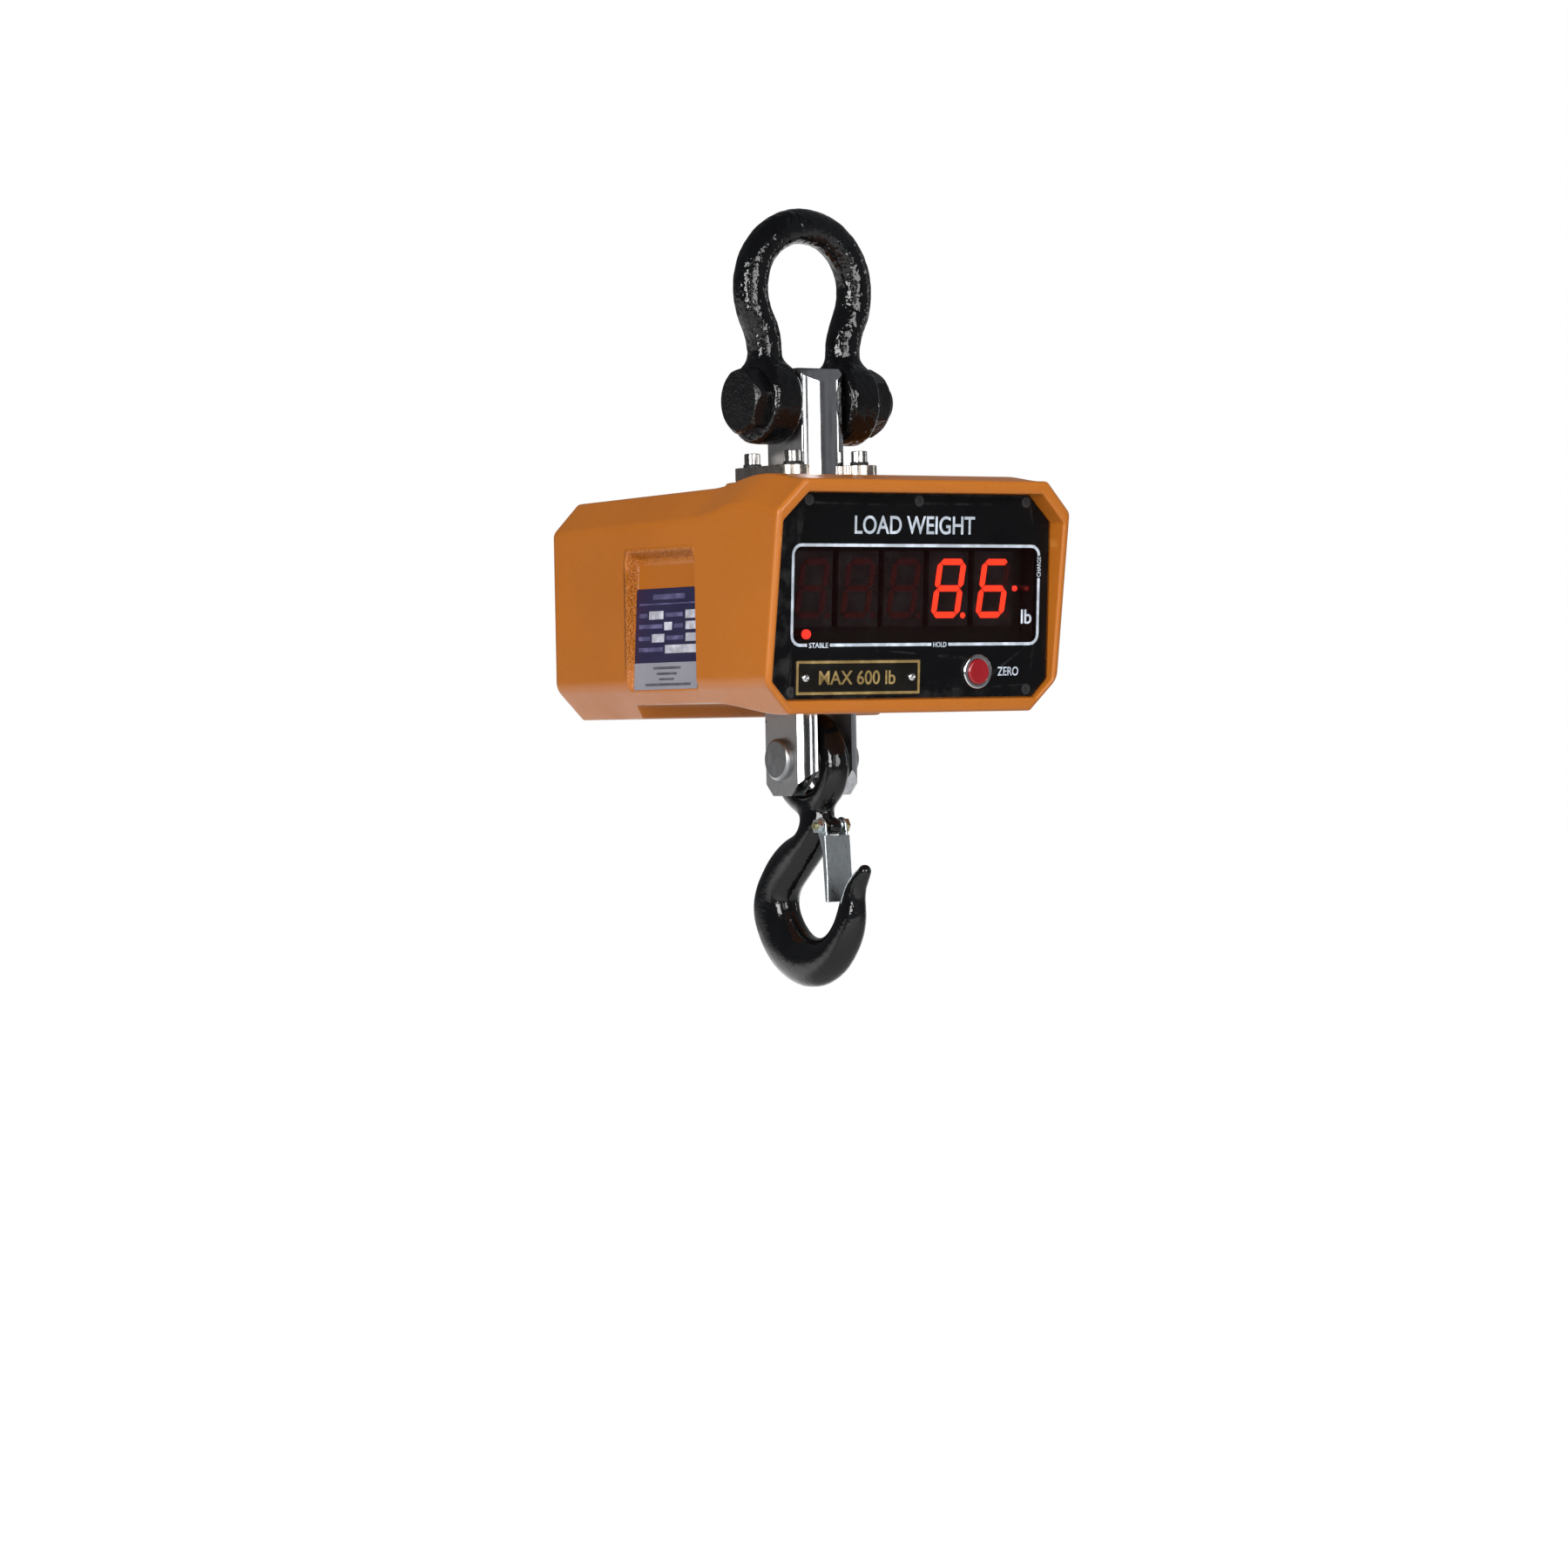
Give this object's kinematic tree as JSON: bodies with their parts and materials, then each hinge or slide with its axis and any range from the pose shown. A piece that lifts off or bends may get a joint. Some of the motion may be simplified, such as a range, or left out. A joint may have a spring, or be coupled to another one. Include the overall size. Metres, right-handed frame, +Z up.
{
  "type": "crane scale",
  "caption": "Hanging crane scale: bow shackle above a cast display housing with a load cell inside, and a swinging eye hook with a sprung latch below.",
  "frame": {"origin": "the point inside the bow's crown where a crane hook carries the scale", "axes": "+Z up along the load line, -Y towards the reader of the display, +X to that reader's right"},
  "size_m": [0.19, 0.2215, 0.4192],
  "materials": {
    "shackle_paint": "thick black paint, glossy and lumpy over the forging",
    "hook_paint": "glossy black enamel over a forged surface",
    "polished_steel": "turned and ground, near mirror on the round faces",
    "stainless": "satin stainless steel",
    "orange_coat": "semi-gloss orange powder coat over a casting",
    "panel_black": "satin black sheet with light grey print",
    "red_filter": "dark red filter sheet",
    "digit_module": "dark module with moulded segments",
    "lamp_red": "red lamp bodies",
    "circuit_board": "green solder mask",
    "spacer_brass": "turned brass",
    "plaque_black": "black plate with a gold border",
    "chrome": "bright plating",
    "button_red": "red moulded cap",
    "cell_aluminium": "milled aluminium",
    "pin_steel": "dark ground steel",
    "zinc": "zinc-plated sheet and fasteners",
    "rubber_black": "black rubber",
    "cover_coat": "black anodised sheet",
    "black_plastic": "moulded black plastic",
    "battery_case": "grey-black battery case",
    "label_print": "printed film, blank fields"
  },
  "bodies": {
    "shackle": {"shackle_bow": "shackle_paint", "shackle_bolt": "shackle_paint", "shackle_nut": "shackle_paint", "roll_pin": "zinc"},
    "hook": {"hook": "hook_paint", "latch_bolt": "zinc", "latch_nut": "zinc", "latch_spring": "zinc"},
    "latch": {"latch": "zinc"},
    "zero_button": {"button_cap": "button_red"},
    "rocker": {"power_rocker": "black_plastic"},
    "scale": {"lifting_lug": "polished_steel", "flange_halves": "stainless", "flange_gasket": "rubber_black", "flange_washers": "rubber_black", "flange_screws": "stainless", "housing": "orange_coat", "front_panel": "panel_black", "display_window": "red_filter", "panel_screws": "panel_black", "led_digit_1": "digit_module", "led_digit_2": "digit_module", "led_digit_3": "digit_module", "led_digit_4": "digit_module", "led_digit_5": "digit_module", "status_lamps": "lamp_red", "display_board": "circuit_board", "board_spacers": "spacer_brass", "main_board": "circuit_board", "capacity_plaque": "plaque_black", "plaque_screws": "chrome", "button_bezel": "chrome", "button_nut": "zinc", "load_cell": "cell_aluminium", "fork": "polished_steel", "fork_pin": "pin_steel", "pin_washer": "zinc", "retaining_ring": "pin_steel", "floor_seal": "rubber_black", "rear_gasket": "rubber_black", "rear_cover": "cover_coat", "rear_cover_screws": "stainless", "charge_socket": "black_plastic", "charge_socket_nut": "zinc", "power_switch": "black_plastic", "battery": "battery_case", "battery_tray": "zinc", "rating_label": "label_print"}
  },
  "joints": [
    {"name": "shackle_swing", "type": "hinge", "parent": "shackle", "child": "scale", "pos_m": [0, 0, -0.085], "axis": [1, 0, 0], "range_deg": [-90, 90]},
    {"name": "hook_swing", "type": "hinge", "parent": "scale", "child": "hook", "pos_m": [0, 0, -0.277], "axis": [1, 0, 0], "range_deg": [-60, 60]},
    {"name": "latch_open", "type": "hinge", "parent": "hook", "child": "latch", "pos_m": [0, -0.0174, -0.3128], "axis": [1, 0, 0], "range_deg": [0, 36], "stiffness_Nm_per_rad": 0.06, "springref_deg": -28.65},
    {"name": "zero_press", "type": "slide", "parent": "scale", "child": "zero_button", "axis": [0, 0.9978, 0.0663], "range_m": [0, 0.0015], "stiffness_N_per_m": 500, "springref_m": -0.001},
    {"name": "power_rock", "type": "hinge", "parent": "scale", "child": "rocker", "pos_m": [0.052, 0.1053, -0.1828], "axis": [0, 0, 1], "range_deg": [0, 18]}
  ]
}
